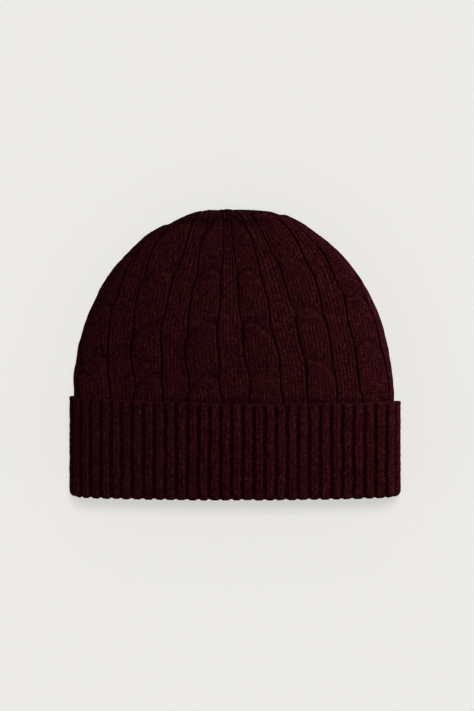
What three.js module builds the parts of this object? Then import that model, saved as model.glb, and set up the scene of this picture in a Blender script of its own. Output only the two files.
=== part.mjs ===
// A cable-knit beanie with a turned-up ribbed cuff, empty and lying flat on its back.
// Millimetres: +X across the hat, +Y from the bottom fold to the top, +Z up from the surface it lies on.
// The origin is at the middle of the hat's outline, on that surface.
import * as THREE from "three";

const DEGREE = Math.PI / 180;
const FULL_TURN = 360;
const HALF_TURN = 180;
const QUARTER_TURN = 90;
const TINY = 1e-6;

// ---- Driving sizes --------------------------------------------------------------------------

const HAT_LENGTH = 209.5;
const CUFF_HALF_WIDTH = 119.6;
const CUFF_THICKNESS = 24;
const KNIT_WALL = 3.4;
const CABLE_WALL = 3.2; // from the cables' highest stitches to the inside
const TURN_UP_SLIT = 0.6;
const RIBS = 64;
const RIB_DEPTH = 1.3;
const FOLD_ANGLES = [45, 90, 135]; // where the section bends round the fold
const RIM_ROUNDING = 0.3; // share of the wall that the free edge's corners take
const BAND_TOP = 62;
const SEAT_GAP = 0.35;

// Heights of the cuff's bottom fold and free edge at its left end, its middle and its right end.
const CUFF_EDGES = {
  fold: { left: 2.2, middle: 0, right: 2.9 },
  rim: { left: 74.3, middle: 69.6, right: 71.4 },
};

const CABLE_REPEATS = 12;
const CROWN_BASE = 72; // height at which the crown's sides start to curve in
const CROWN_ROUNDNESS = 2.07; // exponent of the crown's outline, 2 being an ellipse
const CROWN_LOFT = 6; // how far the middle of the front stands above the sides
const LOFT_LENGTH = 52; // over which that rise grows from the cuff upwards
const LIFT_LENGTH = 26; // over which the back comes down from the cuff's layers to the surface
const CROWN_ROWS = 24;
const LINING_ROWS = 9; // rows of the crown's inner face
const LINE_SAMPLES = 90; // steps in which a line of stitches is measured
const NORMAL_STEP = 0.004; // share of the climb over which the surface's slope is taken
const POLE_TILT = 25; // degrees by which the gathered top has slipped over onto the back
const POLE_TILT_POWER = 5.5;
const POLE_ROLL = 8.3; // degrees by which it has slipped to the left as well
const CROWN_LEAN = 3.2; // degrees by which the panels lean to the left above the cuff
const CROWN_LEAN_CLIMB = 0.26;
const FRONT_SPREAD = 0.061; // the panels in the middle of the front lie a little wider near the cuff
const TOP_BUNCHING = 0.161; // and they bunch together higher up
const SETTLE = 1.3; // how far the highest stitches of the back are pressed flat by the hat's weight
const TOP_DIP = { below: 11, width: 4.5, depth: 2.2, halfSpan: 44 };

// Depths of the cable pattern below its highest stitches, and the cables' rhythm.
const PANEL_DEPTH = 1.1;
const VALLEY_DEPTH = 2.3;
const CABLE_SWELL = 1.5;
const CROSSING_PITCH = 38.5;
const VALLEY_EDGE = 0.028; // share of a repeat between a panel's last column and its end

// Where each repeat's plain panel ends, as a share of the repeat, near the cuff and near the top.
const PANEL_SHARE = { low: 0.42, high: 0.29, from: 0.3, to: 0.9 };

// One row for each cable, from the left of the front round to the right and on over the back:
// the height of one crossing above the fold, and the hand of its twist.
const CABLES = [
  { crossing: 100, hand: -1 },
  { crossing: 90, hand: -1 },
  { crossing: 91, hand: -1 },
  { crossing: 90, hand: 1 },
  { crossing: 97, hand: 1 },
  { crossing: 109, hand: 1 },
  { crossing: 106, hand: 1 },
  { crossing: 95, hand: 1 },
  { crossing: 91, hand: 1 },
  { crossing: 91, hand: -1 },
  { crossing: 95, hand: -1 },
  { crossing: 103, hand: -1 },
];

const YARN = { color: 0x3a1016, roughness: 0.95, metalness: 0 };

// ---- Sizes worked out from them -------------------------------------------------------------

const LAYER_STEP = KNIT_WALL + TURN_UP_SLIT;
const CUFF_RADIUS = CUFF_THICKNESS / 2;
const CROWN_HALF_WIDTH = CUFF_HALF_WIDTH - LAYER_STEP;
const CROWN_RADIUS = CUFF_RADIUS - LAYER_STEP;
const CROWN_HEIGHT = HAT_LENGTH - CROWN_BASE;
const CROWN_LIFT = LAYER_STEP;

// ---- Small helpers --------------------------------------------------------------------------

const mix = (a, b, share) => a + (b - a) * share;

function smoothStep(from, to, value) {
  const share = THREE.MathUtils.clamp((value - from) / (to - from), 0, 1);
  return share * share * (3 - 2 * share);
}

// A height that runs through three named values from the left end (side -1) to the right end (side 1).
function edgeHeight({ left, middle, right }, side) {
  return middle + ((right - left) / 2) * side + ((right + left) / 2 - middle) * side ** 2;
}

// How far out and how high a walk of some length ends that goes over a flat face and its rolled edge.
function overRolledEdge(length, reach, radius) {
  const flat = reach - radius;
  if (length <= flat) return { out: length, rise: radius };
  const turn = (length - flat) / radius;
  return { out: flat + radius * Math.sin(turn), rise: radius * Math.cos(turn) };
}

function rolledLength(reach, radius) {
  return reach - radius + (radius * Math.PI) / 2;
}

// ---- Cuff -----------------------------------------------------------------------------------

// A point and its outward normal on the cuff's outer face, a turn in degrees from the front's middle.
function cuffOutline(turn) {
  const signed = THREE.MathUtils.euclideanModulo(turn + HALF_TURN, FULL_TURN) - HALF_TURN;
  const isFront = Math.abs(signed) <= QUARTER_TURN;
  const share = (isFront ? Math.abs(signed) : HALF_TURN - Math.abs(signed)) / QUARTER_TURN;
  const length = share * rolledLength(CUFF_HALF_WIDTH, CUFF_RADIUS);
  const { out, rise } = overRolledEdge(length, CUFF_HALF_WIDTH, CUFF_RADIUS);
  const hand = Math.sign(signed);
  const face = isFront ? 1 : -1;
  const normalOut = Math.max(0, out - (CUFF_HALF_WIDTH - CUFF_RADIUS)) / CUFF_RADIUS;
  return {
    x: hand * out,
    z: CUFF_RADIUS + face * rise,
    normalX: hand * normalOut,
    normalZ: (face * rise) / CUFF_RADIUS,
  };
}

// The closed section of the cuff at one place: the turn-up, the fold and the band inside it.
// depth is measured in from the outer face, and sink is the direction, in degrees, of a rib's valley.
function cuffSection(fold, rim) {
  const bend = KNIT_WALL + TURN_UP_SLIT / 2;
  const inner = 2 * bend;
  const bendTop = fold + bend;
  const corner = RIM_ROUNDING * KNIT_WALL;
  const aroundFold = FOLD_ANGLES.map((angle) => ({
    y: bendTop - bend * Math.sin(angle * DEGREE),
    depth: bend - bend * Math.cos(angle * DEGREE),
    sink: angle,
  }));
  return [
    { y: rim, depth: KNIT_WALL - corner },
    { y: rim, depth: corner },
    { y: rim - corner, depth: 0, sink: 0 },
    { y: (rim + bendTop) / 2, depth: 0, sink: 0 },
    { y: bendTop, depth: 0, sink: 0 },
    ...aroundFold,
    { y: bendTop, depth: inner, sink: HALF_TURN },
    { y: BAND_TOP, depth: inner, sink: HALF_TURN },
    { y: BAND_TOP, depth: LAYER_STEP },
    { y: bendTop, depth: LAYER_STEP },
    { y: bendTop, depth: KNIT_WALL },
    { y: rim - corner, depth: KNIT_WALL },
  ];
}

function cuffGeometry() {
  const columns = 2 * RIBS;
  const rings = [];
  for (let column = 0; column < columns; column++) {
    const outline = cuffOutline((column / columns) * FULL_TURN);
    const side = outline.x / CUFF_HALF_WIDTH;
    const valley = column % 2 === 0 ? 0 : RIB_DEPTH;
    const fold = edgeHeight(CUFF_EDGES.fold, side);
    const section = cuffSection(fold, edgeHeight(CUFF_EDGES.rim, side));
    rings.push(
      section.map(({ y, depth, sink }) => {
        const hasRib = sink !== undefined;
        const inward = depth + (hasRib ? valley * Math.cos(sink * DEGREE) : 0);
        const upward = hasRib ? valley * Math.sin(sink * DEGREE) : 0;
        return new THREE.Vector3(
          outline.x - outline.normalX * inward,
          y + upward,
          outline.z - outline.normalZ * inward,
        );
      }),
    );
  }
  return ringGeometry(rings);
}

// ---- Crown ----------------------------------------------------------------------------------

// Distance from the middle of the crown's base to its outline, in the direction (across, up).
function outlineReach(across, up) {
  const n = CROWN_ROUNDNESS;
  const sum = (Math.abs(across) / CROWN_HALF_WIDTH) ** n + (Math.abs(up) / CROWN_HEIGHT) ** n;
  return sum ** (-1 / n);
}

// The place that a stitch at this turn and climb takes on a round dome with its top tilted to the back.
function domePlace(turn, climb) {
  const lean = CROWN_LEAN * smoothStep(0, CROWN_LEAN_CLIMB, climb);
  const wale = (turn - lean) * DEGREE;
  const middleness = Math.max(0, Math.cos(wale)) ** 2;
  const spread = FRONT_SPREAD * Math.sin(2 * wale) * middleness;
  const bunched = TOP_BUNCHING * Math.sin(4 * wale) * smoothStep(0, 1, climb);
  const around = wale + spread - bunched;
  const latitude = (climb * Math.PI) / 2;
  const tilt = POLE_TILT * DEGREE * climb ** POLE_TILT_POWER;
  const roll = POLE_ROLL * DEGREE * climb ** 2;
  const across = Math.cos(latitude) * Math.sin(around);
  const facing = Math.cos(latitude) * Math.cos(around);
  const up = Math.sin(latitude) * Math.cos(tilt) + facing * Math.sin(tilt);
  return {
    across: across * Math.cos(roll) - up * Math.sin(roll),
    up: up * Math.cos(roll) + across * Math.sin(roll),
    ahead: facing * Math.cos(tilt) - Math.sin(latitude) * Math.sin(tilt),
  };
}

// How far above the surface the crown's back lies: the cuff's own layers hold it up next to them.
function liftAt(height) {
  return CROWN_LIFT * (1 - smoothStep(CROWN_BASE, CROWN_BASE + LIFT_LENGTH, height));
}

// A point of the crown's envelope, which its highest stitches touch, when the dome is laid flat.
function flattenedPlace(turn, climb) {
  const { across, up, ahead } = domePlace(turn, climb);
  const azimuth = Math.atan2(across, ahead);
  const isFront = Math.abs(azimuth) <= Math.PI / 2;
  const folded = isFront ? azimuth : Math.sign(azimuth) * (Math.PI - Math.abs(azimuth));
  const level = Math.sqrt(Math.max(0, 1 - up * up));
  const sheetX = (level * folded) / (Math.PI / 2);
  const reachShare = Math.hypot(sheetX, up);
  const directionX = CROWN_HALF_WIDTH * sheetX;
  const directionY = CROWN_HEIGHT * up;
  const size = Math.hypot(directionX, directionY) + TINY;
  const reach = outlineReach(directionX / size + TINY, directionY / size);
  const length = reachShare * rolledLength(reach, CROWN_RADIUS);
  const { out, rise } = overRolledEdge(length, reach, CROWN_RADIUS);
  const x = (directionX / size) * out;
  const height = CROWN_BASE + (directionY / size) * out;
  let z = CROWN_RADIUS + (isFront ? rise : -rise) + liftAt(height);
  if (isFront) z += frontRelief(x, height, reachShare) * (rise / CROWN_RADIUS);
  return new THREE.Vector3(x, height, z);
}

// The front's gentle rise over the hollow, and the dip where the fabric turns over the top.
function frontRelief(x, height, reachShare) {
  const grown = smoothStep(CROWN_BASE, CROWN_BASE + LOFT_LENGTH, height);
  const loft = CROWN_LOFT * (1 - reachShare ** 2) * grown;
  const fromDip = (height - (HAT_LENGTH - TOP_DIP.below)) / TOP_DIP.width;
  const span = Math.exp(-((x / TOP_DIP.halfSpan) ** 4));
  return loft - TOP_DIP.depth * Math.exp(-fromDip * fromDip) * span;
}

// The place on the line of stitches at this turn that is this share of the way along it, from the
// crown's hidden lower edge to the gather.
function stitchPlace(turn, share) {
  const climbs = [0];
  const path = [flattenedPlace(turn, 0).setY(BAND_TOP + SEAT_GAP)];
  for (let i = 0; i <= LINE_SAMPLES; i++) {
    climbs.push(i / LINE_SAMPLES);
    path.push(flattenedPlace(turn, i / LINE_SAMPLES));
  }
  const lengths = [0];
  for (let i = 1; i < path.length; i++) {
    lengths.push(lengths[i - 1] + path[i].distanceTo(path[i - 1]));
  }
  const length = lengths.at(-1) * share;
  const next = lengths.findIndex((value) => value > length);
  const part = (length - lengths[next - 1]) / (lengths[next] - lengths[next - 1]);
  return {
    climb: mix(climbs[next - 1], climbs[next], part),
    point: path[next - 1].clone().lerp(path[next], part),
    height: BAND_TOP + length,
  };
}

function outwardNormal(turn, climb) {
  const low = Math.max(0, climb - NORMAL_STEP);
  const high = Math.min(1 - NORMAL_STEP, climb + NORMAL_STEP);
  const along = flattenedPlace(turn, high).sub(flattenedPlace(turn, low));
  const around = flattenedPlace(turn + 1, climb).sub(flattenedPlace(turn - 1, climb));
  return around.cross(along).normalize();
}

function panelShare(share) {
  return mix(PANEL_SHARE.low, PANEL_SHARE.high, smoothStep(PANEL_SHARE.from, PANEL_SHARE.to, share));
}

// The columns of one repeat, from the middle of a plain panel to just before the next one's middle.
function repeatColumns(share) {
  const panelEnd = panelShare(share) / 2;
  const valley = panelEnd + VALLEY_EDGE / 2;
  const cableSide = (0.5 + panelEnd) / 2;
  return [
    { at: 0, kind: "panel" },
    { at: panelEnd - VALLEY_EDGE, kind: "panel" },
    { at: valley, kind: "valley" },
    { at: cableSide, kind: "strand", side: -1 },
    { at: 0.5, kind: "middle" },
    { at: 1 - cableSide, kind: "strand", side: 1 },
    { at: 1 - valley, kind: "valley" },
    { at: 1 - panelEnd + VALLEY_EDGE, kind: "panel" },
  ];
}

// Depth of the knitting below the envelope for one column of a repeat, at a height along the stitches.
function patternDepth(column, cable, height) {
  if (column.kind === "panel") return PANEL_DEPTH;
  if (column.kind === "valley") return VALLEY_DEPTH;
  const phase = ((height - cable.crossing) / CROSSING_PITCH) * 2 * Math.PI;
  if (column.kind === "middle") return (CABLE_SWELL / 4) * (1 + Math.cos(2 * phase));
  return (CABLE_SWELL / 2) * (1 - cable.hand * column.side * Math.cos(phase));
}

// The back settles on the surface, so its highest stitches are pressed flat there.
function settled(point) {
  const held = liftAt(point.y) / CROWN_LIFT;
  const drop = SETTLE * (1 - held) * Math.max(0, 1 - point.z / CROWN_RADIUS);
  return point.setZ(Math.max(0, point.z - drop));
}

// A ring of the crown's outer or inner face, a share of the way up each line of stitches.
function crownRing(share, depthOf) {
  const ring = [];
  for (let repeat = 0; repeat < CABLE_REPEATS; repeat++) {
    repeatColumns(share).forEach((column) => {
      const turn = ((repeat + column.at) / CABLE_REPEATS) * FULL_TURN;
      const { climb, point, height } = stitchPlace(turn, share);
      const normal = outwardNormal(turn, climb);
      if (share === 0) normal.setY(0).normalize();
      const cable = CABLES[(repeat + CABLE_REPEATS / 4) % CABLE_REPEATS];
      ring.push(settled(point.addScaledVector(normal, -depthOf(column, cable, height))));
    });
  }
  return ring;
}

function crownGeometry() {
  const rings = (rows, depthOf) =>
    Array.from({ length: rows }, (_, row) => crownRing(row / rows, depthOf));
  const outer = rings(CROWN_ROWS, patternDepth);
  const inner = rings(LINING_ROWS, () => CABLE_WALL);
  const pole = flattenedPlace(0, 1);
  const [outerPole, innerPole] = [PANEL_DEPTH, CABLE_WALL].map((depth) =>
    settled(pole.clone().setZ(pole.z + depth)),
  );
  return shellGeometry(outer, outerPole, inner, innerPole);
}

// ---- Meshes ---------------------------------------------------------------------------------

function indexedGeometry(points, faces) {
  const geometry = new THREE.BufferGeometry().setFromPoints(points);
  geometry.setIndex(faces.flat());
  geometry.computeVertexNormals();
  return geometry;
}

// A quad's diagonal joins its first and third corners.
function quad(a, b, c, d) {
  return [a, b, c, a, c, d];
}

// A closed ring: sections that follow each other round, each a closed loop of points.
function ringGeometry(sections) {
  const size = sections[0].length;
  const faces = [];
  sections.forEach((section, i) => {
    const next = (i + 1) % sections.length;
    section.forEach((_, j) => {
      const after = (j + 1) % size;
      faces.push(quad(i * size + j, i * size + after, next * size + after, next * size + j));
    });
  });
  return indexedGeometry(sections.flat(), faces);
}

// A closed cup: an outer and an inner face, each of rings that end in one point, joined at their open edges.
function shellGeometry(outer, outerPole, inner, innerPole) {
  const size = outer[0].length;
  const innerStart = outer.length * size;
  const points = [...outer.flat(), ...inner.flat(), outerPole, innerPole];
  const outerPoleIndex = points.length - 2;
  const innerPoleIndex = points.length - 1;
  const faces = [];
  const join = (start, rings, pole, isOuter) => {
    for (let column = 0; column < size; column++) {
      const next = (column + 1) % size;
      for (let ring = 0; ring + 1 < rings; ring++) {
        const low = start + ring * size;
        const high = low + size;
        const corners = [low + column, low + next, high + next, high + column];
        faces.push(quad(...(isOuter ? corners : corners.reverse())));
      }
      const last = start + (rings - 1) * size;
      faces.push(isOuter ? [last + column, last + next, pole] : [last + next, last + column, pole]);
    }
  };
  join(0, outer.length, outerPoleIndex, true);
  join(innerStart, inner.length, innerPoleIndex, false);
  for (let column = 0; column < size; column++) {
    const next = (column + 1) % size;
    faces.push(quad(innerStart + column, innerStart + next, next, column));
  }
  return indexedGeometry(points, faces);
}

// ---- The hat --------------------------------------------------------------------------------

function namedMesh(name, geometry) {
  const mesh = new THREE.Mesh(geometry, new THREE.MeshStandardMaterial(YARN));
  mesh.name = name;
  return mesh;
}

const beanie = new THREE.Group();
beanie.add(namedMesh("crown", crownGeometry()));
beanie.add(namedMesh("cuff", cuffGeometry()));
const outline = new THREE.Box3().setFromObject(beanie);
const middle = outline.getCenter(new THREE.Vector3());
beanie.position.set(-middle.x, -middle.y, -outline.min.z);

export default beanie;
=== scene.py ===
"""A cable-knit beanie with a turned-up ribbed cuff, empty and lying flat on its back on a pale floor.

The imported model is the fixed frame. The crown and the cuff stand for its two nodes and are knitted
finely here: single wales, cables that cross, ribs, the fold and the cast-on edge are geometry, and the
single stitches and the heather of the yarn are in the finish. Knitting is worked out in millimetres,
with heights counted up from the bottom fold of the cuff, and meshes are made in metres.
"""

from __future__ import annotations

import logging
import math
from dataclasses import dataclass, field
from enum import Enum
from functools import cached_property

import bpy
import numpy as np
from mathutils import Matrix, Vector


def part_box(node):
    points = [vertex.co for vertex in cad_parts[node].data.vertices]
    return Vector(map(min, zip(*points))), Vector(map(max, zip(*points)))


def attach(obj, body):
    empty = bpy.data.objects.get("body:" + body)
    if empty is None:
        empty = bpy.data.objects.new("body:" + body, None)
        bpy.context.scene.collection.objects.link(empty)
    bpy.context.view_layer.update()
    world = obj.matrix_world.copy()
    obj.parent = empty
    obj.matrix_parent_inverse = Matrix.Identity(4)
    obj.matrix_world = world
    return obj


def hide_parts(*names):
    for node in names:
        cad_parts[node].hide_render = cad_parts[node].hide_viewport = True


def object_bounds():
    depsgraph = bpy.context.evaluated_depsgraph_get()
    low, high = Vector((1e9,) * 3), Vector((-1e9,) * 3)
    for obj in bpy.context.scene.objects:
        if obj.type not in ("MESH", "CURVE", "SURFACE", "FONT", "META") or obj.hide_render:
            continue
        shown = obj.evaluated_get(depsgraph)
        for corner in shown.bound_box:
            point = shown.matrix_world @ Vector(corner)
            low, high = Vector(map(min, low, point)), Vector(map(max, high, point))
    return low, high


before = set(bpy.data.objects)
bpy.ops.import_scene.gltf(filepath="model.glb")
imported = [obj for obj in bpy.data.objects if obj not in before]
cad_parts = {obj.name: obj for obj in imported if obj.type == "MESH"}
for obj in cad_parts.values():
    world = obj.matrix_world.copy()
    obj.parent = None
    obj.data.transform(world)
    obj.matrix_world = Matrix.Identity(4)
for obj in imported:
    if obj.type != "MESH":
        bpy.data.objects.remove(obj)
CAD_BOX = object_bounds()

Array = np.ndarray
Colour = tuple[float, float, float, float]
MM = 0.001
FULL_TURN = 360.0
HALF_TURN = 180.0
QUARTER_TURN = 90.0
TINY = 1e-6
STITCH_MAP = "stitches"
# Name of the point attribute whose depth share the finish darkens as painted shade.
DEPTH_AND_SHADE = "depth_and_shade"
LOG = logging.getLogger("beanie")


def smooth_step(low: float, high: float, value: Array) -> Array:
    """The share of a smooth rise from 0 at low to 1 at high that each value has reached."""
    share = np.clip((np.asarray(value, dtype=float) - low) / (high - low), 0.0, 1.0)
    return share * share * (3.0 - 2.0 * share)


def bell(value: Array, width: float) -> Array:
    """A smooth bump that is 1 at 0 and falls off over the width."""
    return np.exp(-((value / width) ** 2))


def mix(low: Array, high: Array, share: Array) -> Array:
    """The value a share of the way from low to high."""
    return low + (high - low) * share


def signed(turn: Array) -> Array:
    """A turn in degrees, brought to between -180 and 180."""
    return (turn + HALF_TURN) % FULL_TURN - HALF_TURN


def stitch_map(wale: Array, course: Array, round_wales: float) -> Array:
    """Stitch coordinates of a grid, with its first column once more at the end, a round further on."""
    stitches = np.stack(np.broadcast_arrays(wale, course), axis=-1)
    return np.concatenate([stitches, stitches[:, :1] + np.array([round_wales, 0.0])], axis=1)


@dataclass(frozen=True)
class Unevenness:
    """Smooth noise for the hand of the knitting: its seed, and its cells round the hat and up it."""

    seed: int
    around: int
    along: int

    @cached_property
    def lattice(self) -> Array:
        """Values at the corners of the cells, drawn once."""
        return np.random.default_rng(self.seed).uniform(-1.0, 1.0, (self.along + 2, self.around))

    def at(self, turn: Array, share: Array) -> Array:
        """Reads the noise.

        Args:
            turn: Degrees round the hat.
            share: Share of the way up, 0 to 1.

        Returns:
            Values between -1 and 1.
        """
        x = (np.asarray(turn) / FULL_TURN * self.around) % self.around
        y = np.clip(share, 0.0, 1.0) * self.along
        column = np.floor(x).astype(int) % self.around
        row = np.minimum(np.floor(y).astype(int), self.along)
        across = smooth_step(0.0, 1.0, x - np.floor(x))
        up = smooth_step(0.0, 1.0, y - row)
        after = (column + 1) % self.around
        low = mix(self.lattice[row, column], self.lattice[row, after], across)
        high = mix(self.lattice[row + 1, column], self.lattice[row + 1, after], across)
        return mix(low, high, up)


# ---- Meshes ---------------------------------------------------------------------------------


@dataclass
class Skin:
    """Points, faces and stitch coordinates of one closed surface, gathered part by part."""

    base: float
    fan_courses: float = 2.0
    points: list[Array] = field(default_factory=list)
    depth_and_shade: list[Array] = field(default_factory=list)
    faces: list[Array] = field(default_factory=list)
    stitches: list[Array] = field(default_factory=list)
    count: int = 0

    def add_points(self, points: Array, depth_and_shade: Array) -> Array:
        """Adds points and says which they are.

        Args:
            points: Places in millimetres, in an array that ends in 3.
            depth_and_shade: How deep each lies in the knitting, from 0 to 1, which the finish paints as
                shade.

        Returns:
            The points' numbers, in the shape of the array.
        """
        numbers = np.arange(depth_and_shade.size).reshape(depth_and_shade.shape) + self.count
        self.points.append(points.reshape(-1, 3))
        self.depth_and_shade.append(np.asarray(depth_and_shade, dtype=float).ravel())
        self.count += depth_and_shade.size
        return numbers

    def add_faces(self, corners: list[Array], stitches: list[Array], outward: bool) -> None:
        """Adds faces of three or four corners.

        Args:
            corners: Point numbers of each corner in turn, counter-clockwise seen from outside.
            stitches: The stitch coordinates of those corners.
            outward: False for faces that look into the hat.
        """
        step = 1 if outward else -1
        numbers = np.stack(corners[::step], axis=-1)
        self.faces.append(numbers.reshape(-1, len(corners)))
        self.stitches.append(np.stack(stitches[::step], axis=-2).reshape(-1, 2))

    def add_band(self, numbers: Array, stitches: Array, outward: bool = True) -> None:
        """Joins the rows of a grid whose columns run right round.

        Args:
            numbers: Point numbers, a row for each ring.
            stitches: Stitch coordinates with one column more, for the closing column.
            outward: False for a face that looks into the hat.
        """
        rings = np.concatenate([numbers, numbers[:, :1]], axis=1)
        pick = [
            (slice(None, -1), slice(None, -1)),
            (slice(None, -1), slice(1, None)),
            (slice(1, None), slice(1, None)),
            (slice(1, None), slice(None, -1)),
        ]
        self.add_faces([rings[p] for p in pick], [stitches[p] for p in pick], outward)

    def add_fan(self, centre: int, ring: Array, stitches: Array, outward: bool = True) -> None:
        """Joins a ring to a point in its middle.

        Args:
            centre: Number of that point.
            ring: Point numbers of the ring.
            stitches: Stitch coordinates with one column more.
            outward: False for a face that looks into the hat.
        """
        between = (stitches[:-1] + stitches[1:]) / 2.0 + np.array([0.0, self.fan_courses])
        corners = [ring, np.roll(ring, -1), np.full_like(ring, centre)]
        self.add_faces(corners, [stitches[:-1], stitches[1:], between], outward)

    def build(self, name: str, material: bpy.types.Material) -> bpy.types.Object:
        """Makes the Blender object.

        Args:
            name: The piece's name.
            material: Its finish.

        Returns:
            The object, smooth shaded, in metres.
        """
        points = (np.concatenate(self.points) + np.array([0.0, self.base, 0.0])) * MM
        corners = np.concatenate([f.ravel() for f in self.faces])
        sizes = np.concatenate([np.full(len(f), f.shape[1]) for f in self.faces])
        starts = np.concatenate([[0], np.cumsum(sizes)[:-1]])
        mesh = bpy.data.meshes.new(name)
        mesh.vertices.add(len(points))
        mesh.vertices.foreach_set("co", points.astype(np.float32).ravel())
        mesh.loops.add(len(corners))
        mesh.loops.foreach_set("vertex_index", corners.astype(np.int32))
        mesh.polygons.add(len(sizes))
        mesh.polygons.foreach_set("loop_start", starts.astype(np.int32))
        mesh.update(calc_edges=True)
        layer = mesh.uv_layers.new(name=STITCH_MAP, do_init=False)
        layer.uv.foreach_set("vector", np.concatenate(self.stitches).astype(np.float32).ravel())
        # This attribute carries the depth share that the finish darkens as painted shade.
        depth = mesh.attributes.new(DEPTH_AND_SHADE, "FLOAT", "POINT")
        depth.data.foreach_set("value", np.concatenate(self.depth_and_shade).astype(np.float32))
        mesh.polygons.foreach_set("use_smooth", np.ones(len(sizes), dtype=bool))
        mesh.materials.append(material)
        mesh.validate(clean_customdata=False)
        piece = bpy.data.objects.new(name, mesh)
        bpy.context.scene.collection.objects.link(piece)
        return piece


# ---- Sizes ----------------------------------------------------------------------------------


@dataclass(frozen=True)
class Hat:
    """The hat's outer sizes, read from the frame, and the knitting's own thicknesses."""

    half_width: float
    length: float
    thickness: float
    base: float
    knit_wall: float = 3.4
    cable_wall: float = 3.8
    slit: float = 0.6
    band_top: float = 62.0
    seat_gap: float = 0.1
    wales: int = 192
    course: float = 2.0

    @classmethod
    def from_frame(cls) -> Hat:
        """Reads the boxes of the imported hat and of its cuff.

        Returns:
            The hat's sizes in millimetres.
        """
        low, high = (np.array(corner) / MM for corner in CAD_BOX)
        cuff_high = np.array(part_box("cuff")[1]) / MM
        return cls(cuff_high[0], high[1] - low[1], cuff_high[2], low[1])

    @property
    def layer_step(self) -> float:
        """From the outer face of one layer of knitting to the next one's."""
        return self.knit_wall + self.slit


# ---- Crown ----------------------------------------------------------------------------------


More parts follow.
